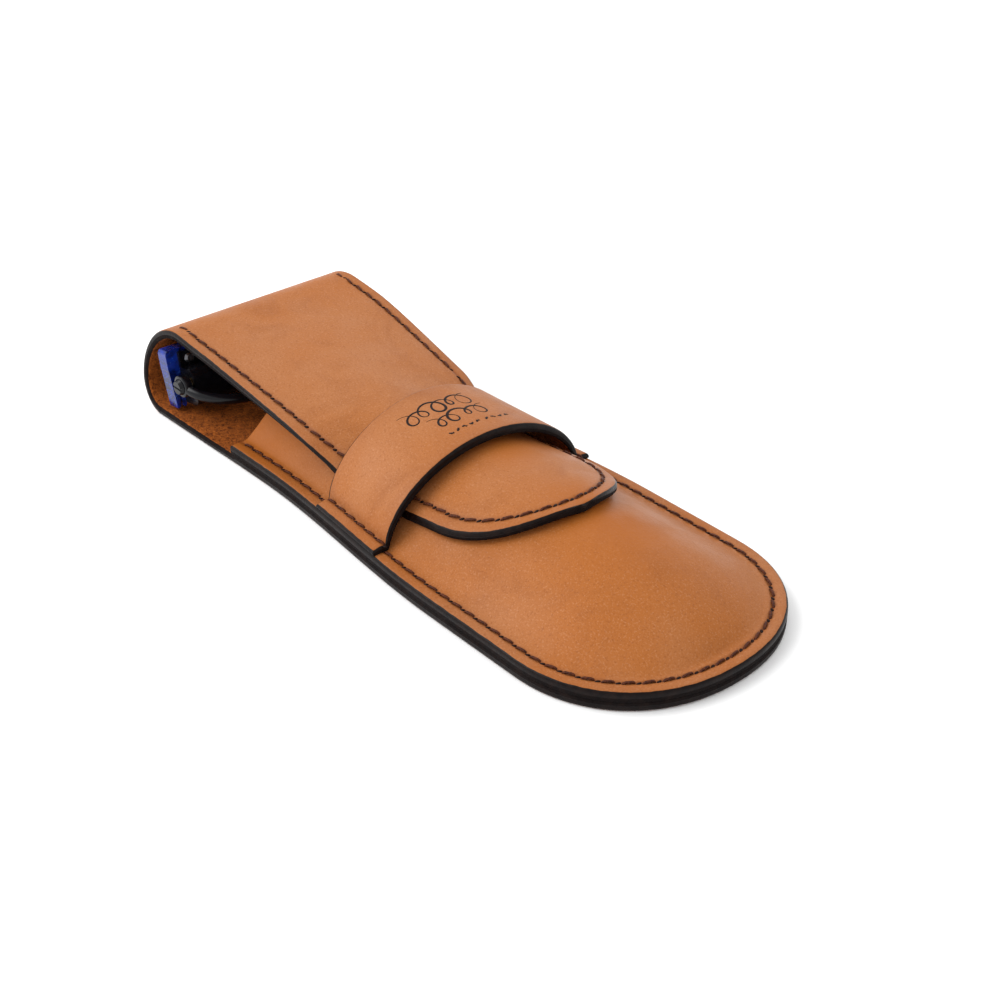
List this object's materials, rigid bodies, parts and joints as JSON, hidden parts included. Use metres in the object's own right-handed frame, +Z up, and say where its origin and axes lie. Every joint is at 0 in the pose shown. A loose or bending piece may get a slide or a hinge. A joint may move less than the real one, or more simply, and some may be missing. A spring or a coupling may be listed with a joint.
{
  "type": "beard comb",
  "caption": "T-headed pocket beard comb with a tilting head, in a folded leather sheath closed by a tongue under a strap keeper.",
  "frame": {"origin": "centre of the box's underside, where the sheath lies on the table", "axes": "+X from the fold to the rounded toe, +Z up through the sheath, +Y completes the frame"},
  "size_m": [0.1634, 0.0604, 0.0229],
  "materials": {
    "hide": "smooth vegetable-tanned",
    "thread": "waxed",
    "acetate": "polished",
    "black_metal": "gloss black",
    "steel": "polished",
    "washer_brass": "satin",
    "ring_rubber": "matt"
  },
  "bodies": {
    "case": {"back_panel": "hide", "front_panel": "hide", "keeper": "hide", "seam_thread_top": "thread", "seam_thread_under": "thread"},
    "fold_a": {"fold_lower": "hide"},
    "fold_b": {"fold_middle": "hide"},
    "fold_c": {"fold_upper": "hide"},
    "flap": {"flap": "hide", "flap_thread_top": "thread"},
    "tongue": {"tongue": "hide"},
    "comb_handle": {"bail": "black_metal", "ferrule": "black_metal", "barrel": "acetate", "grip_rings": "ring_rubber", "end_cap": "black_metal", "core_rod": "steel"},
    "comb_head": {"comb_plate": "acetate", "head_bar": "black_metal", "head_strip": "steel", "head_rivets": "steel", "pivot_screws": "black_metal", "pivot_washers": "washer_brass"}
  },
  "joints": [
    {"name": "flap_open", "type": "hinge", "parent": "case", "child": "fold_a", "pos_m": [-0.07674, 0, 0.00067], "axis": [0, -1, 0], "range_deg": [0, 46.6], "deforming": ["keeper", "fold_lower", "fold_middle", "fold_upper", "flap", "tongue"]},
    {"name": "fold_bend_2", "type": "hinge", "parent": "fold_a", "child": "fold_b", "pos_m": [-0.0812, 0, 0.00537], "axis": [0, -1, 0], "range_deg": [0, 46.6]},
    {"name": "fold_bend_3", "type": "hinge", "parent": "fold_b", "child": "fold_c", "pos_m": [-0.08022, 0, 0.01451], "axis": [0, -1, 0], "range_deg": [0, 46.6]},
    {"name": "fold_bend_4", "type": "hinge", "parent": "fold_c", "child": "flap", "pos_m": [-0.07167, 0, 0.02177], "axis": [0, -1, 0], "range_deg": [0, 46.6]},
    {"name": "tongue_bend", "type": "hinge", "parent": "flap", "child": "tongue", "pos_m": [-0.0133, 0, 0.0169], "axis": [0, 1, 0], "range_deg": [0, 5.6]},
    {"name": "comb_slide", "type": "slide", "parent": "case", "child": "comb_handle", "axis": [-1, 0, 0], "range_m": [0, 0.16]},
    {"name": "head_tilt", "type": "hinge", "parent": "comb_handle", "child": "comb_head", "pos_m": [-0.0661, -0.0025, 0.0099], "axis": [0, 1, 0], "range_deg": [-4, 22]}
  ],
  "couplings": [
    {"joint": "fold_bend_2", "follows": "flap_open", "ratio": 1},
    {"joint": "fold_bend_3", "follows": "flap_open", "ratio": 1},
    {"joint": "fold_bend_4", "follows": "flap_open", "ratio": 1},
    {"joint": "tongue_bend", "follows": "flap_open", "ratio": 0.12}
  ]
}
